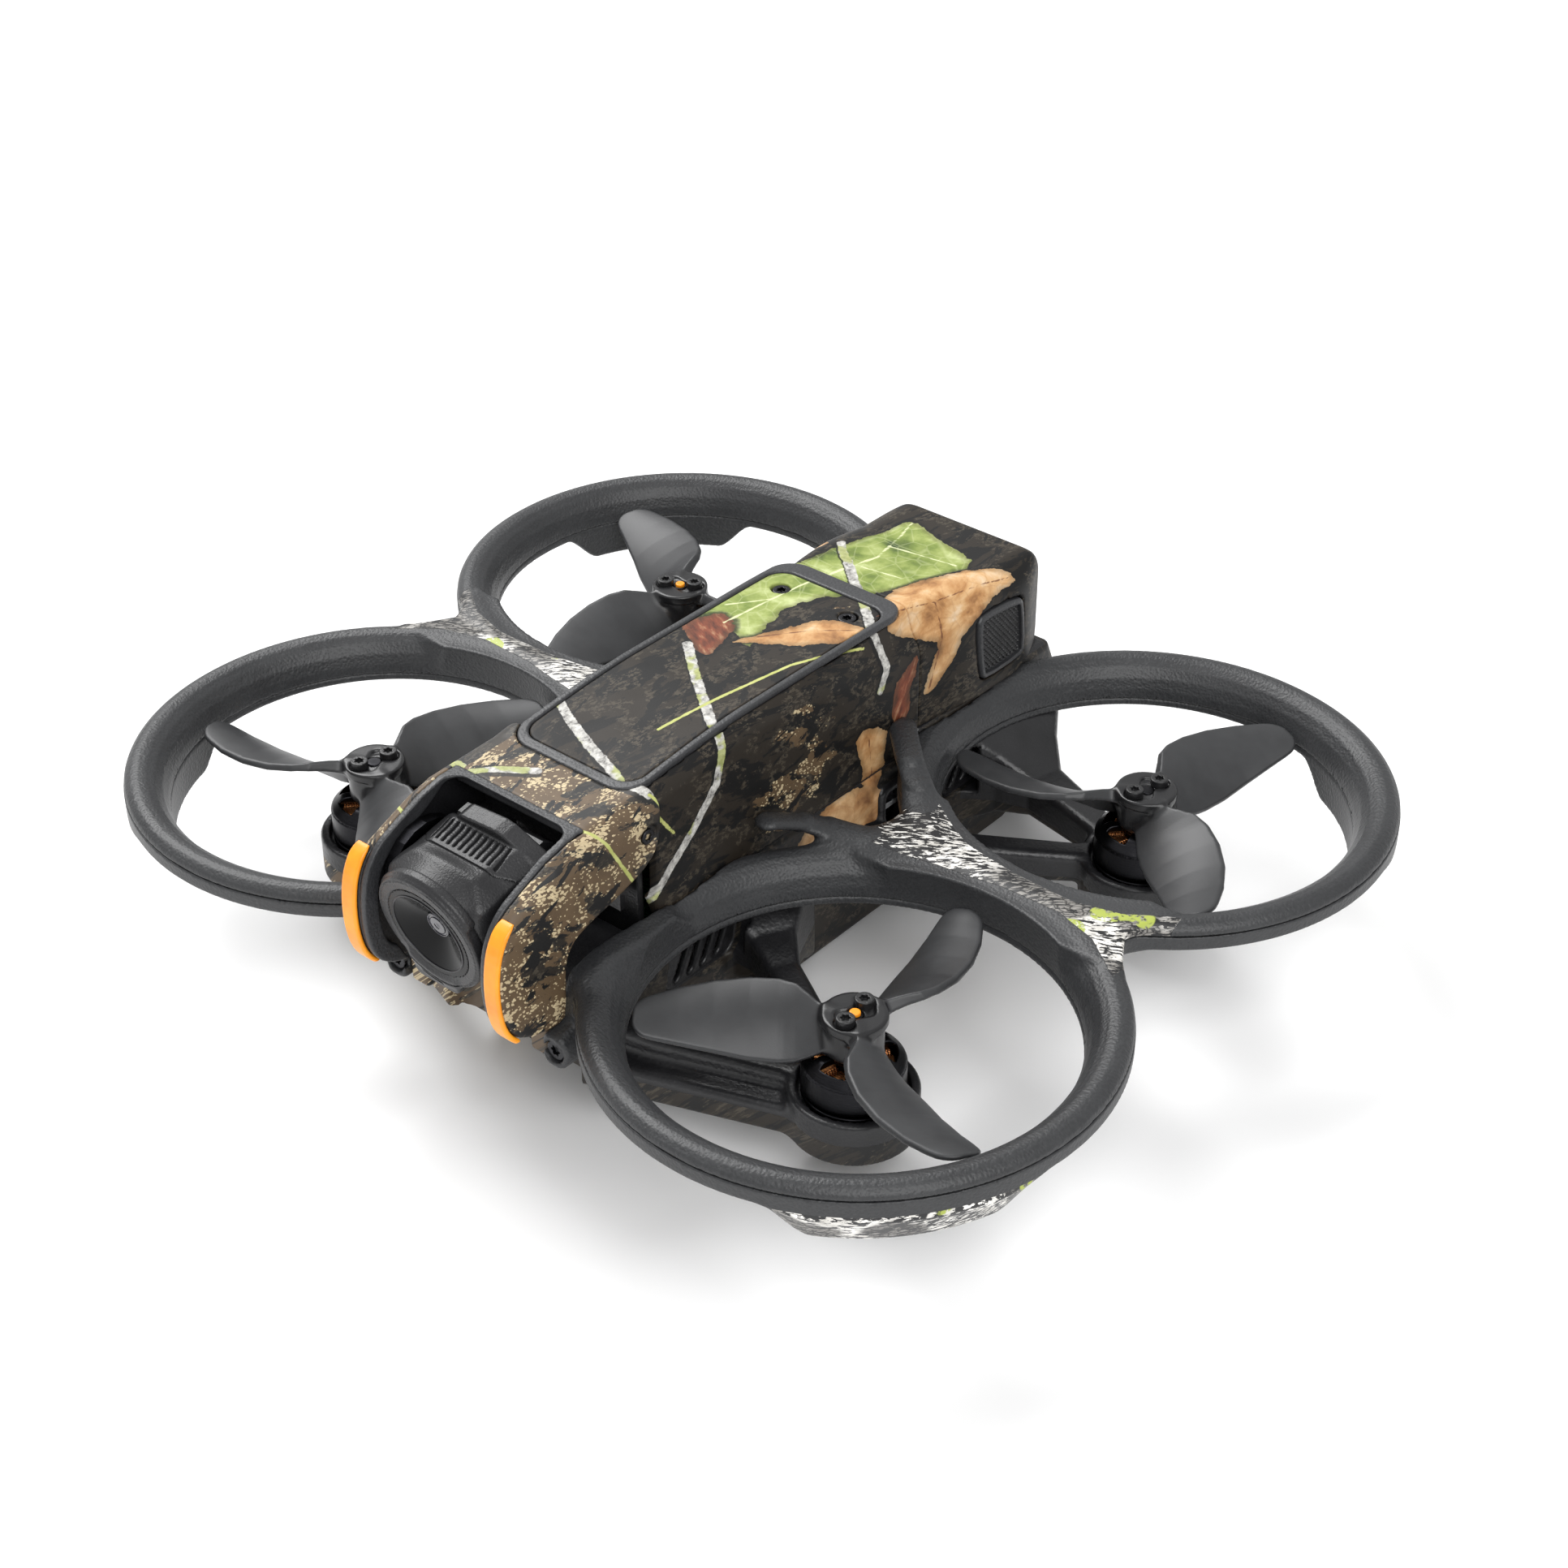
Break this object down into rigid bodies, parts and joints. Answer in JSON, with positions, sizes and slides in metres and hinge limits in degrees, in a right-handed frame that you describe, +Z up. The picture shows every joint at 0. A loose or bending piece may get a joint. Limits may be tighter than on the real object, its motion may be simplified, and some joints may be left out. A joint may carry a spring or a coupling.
{
  "type": "fpv racing drone",
  "caption": "Small ducted first-person-view drone with guarded propellers, a tilting nose camera, a slide-out battery and a woodland camouflage skin.",
  "frame": {"origin": "on the ground, midway between the motor axes, under the middle of the box around the drone", "axes": "+X towards the drone's own left, -Y towards the nose and camera, +Z up"},
  "size_m": [0.212, 0.1812, 0.0645],
  "materials": {
    "camouflage_skin": null,
    "guard_plastic": "charcoal moulded plastic with a fine leather-like grain",
    "frame_plastic": "black moulded plastic with a fine grain",
    "camera_plastic": "dark grey plastic with a fine sand texture",
    "motor_metal": "gloss black anodised and painted metal",
    "blade_plastic": "dark grey smooth satin plastic",
    "bumper_plastic": "orange satin plastic",
    "damper_rubber": "soft black rubber",
    "screw_steel": "blackened steel",
    "winding_copper": "enamelled copper wire on a dark laminated core",
    "optical_glass": "dark coated glass",
    "circuit_board": "green solder mask",
    "aluminium": "cast aluminium, bead blasted",
    "cell_wrap": "blue shrink wrap"
  },
  "bodies": {
    "airframe": {"upper_shell": "camouflage_skin", "top_cover": "camouflage_skin", "nose_cage": "camouflage_skin", "guard_left_upper": "guard_plastic", "guard_left_lower": "guard_plastic", "guard_right_upper": "guard_plastic", "guard_right_lower": "guard_plastic", "cover_rim": "guard_plastic", "nose_trim": "guard_plastic", "lower_frame": "frame_plastic", "fan_housing": "frame_plastic", "gimbal_plate": "frame_plastic", "gimbal_yoke": "frame_plastic", "battery_socket": "frame_plastic", "infrared_sensor": "frame_plastic", "tilt_motor": "motor_metal", "nose_bumper_left": "bumper_plastic", "nose_bumper_right": "bumper_plastic", "gimbal_damper_1": "damper_rubber", "gimbal_damper_2": "damper_rubber", "gimbal_damper_3": "damper_rubber", "cover_screw_left": "screw_steel", "cover_screw_right": "screw_steel", "cheek_screw_left": "screw_steel", "cheek_screw_right": "screw_steel", "guard_screw_left": "screw_steel", "guard_screw_right": "screw_steel", "charge_port": "screw_steel", "motor_stator_front_left": "winding_copper", "motor_stator_front_right": "winding_copper", "motor_stator_rear_left": "winding_copper", "motor_stator_rear_right": "winding_copper", "vision_lens_front": "optical_glass", "vision_lens_rear": "optical_glass", "main_board": "circuit_board", "heat_sink": "aluminium", "gps_module": "aluminium"},
    "cooling_fan": {"fan_rotor": "frame_plastic"},
    "camera": {"camera_body": "camera_plastic", "camera_back": "camera_plastic", "lens_hood": "camera_plastic", "lens_glass": "optical_glass"},
    "battery": {"battery_case": "camouflage_skin", "battery_cells": "cell_wrap", "battery_connector": "frame_plastic", "battery_light_bar": "optical_glass"},
    "buckle_left": {"battery_buckle_left": "guard_plastic"},
    "buckle_right": {"battery_buckle_right": "guard_plastic"},
    "power_switch": {"power_button": "guard_plastic"},
    "rotor_front_left": {"motor_bell_front_left": "motor_metal", "propeller_front_left": "blade_plastic"},
    "rotor_front_right": {"motor_bell_front_right": "motor_metal", "propeller_front_right": "blade_plastic"},
    "rotor_rear_left": {"motor_bell_rear_left": "motor_metal", "propeller_rear_left": "blade_plastic"},
    "rotor_rear_right": {"motor_bell_rear_right": "motor_metal", "propeller_rear_right": "blade_plastic"}
  },
  "joints": [
    {"name": "spin_front_left", "type": "hinge", "parent": "airframe", "child": "rotor_front_left", "pos_m": [0.0591, -0.0437, 0.026], "axis": [0, 0, 1], "continuous": true},
    {"name": "spin_front_right", "type": "hinge", "parent": "airframe", "child": "rotor_front_right", "pos_m": [-0.0591, -0.0437, 0.026], "axis": [0, 0, 1], "continuous": true},
    {"name": "spin_rear_left", "type": "hinge", "parent": "airframe", "child": "rotor_rear_left", "pos_m": [0.0591, 0.0437, 0.026], "axis": [0, 0, 1], "continuous": true},
    {"name": "spin_rear_right", "type": "hinge", "parent": "airframe", "child": "rotor_rear_right", "pos_m": [-0.0591, 0.0437, 0.026], "axis": [0, 0, 1], "continuous": true},
    {"name": "camera_tilt", "type": "hinge", "parent": "airframe", "child": "camera", "pos_m": [0, -0.073, 0.0476], "axis": [-1, 0, 0], "range_deg": [-73.5, 91.5]},
    {"name": "fan_spin", "type": "hinge", "parent": "airframe", "child": "cooling_fan", "pos_m": [0, 0.051, 0.014], "axis": [0, 0, 1], "continuous": true},
    {"name": "battery_slide", "type": "slide", "parent": "airframe", "child": "battery", "axis": [0, 1, 0], "range_m": [0, 0.06]},
    {"name": "buckle_press_left", "type": "slide", "parent": "battery", "child": "buckle_left", "axis": [-1, 0, 0], "range_m": [0, 0.0015]},
    {"name": "buckle_press_right", "type": "slide", "parent": "battery", "child": "buckle_right", "axis": [1, 0, 0], "range_m": [0, 0.0015]},
    {"name": "power_press", "type": "slide", "parent": "battery", "child": "power_switch", "axis": [0, -1, 0], "range_m": [0, 0.0006]}
  ]
}
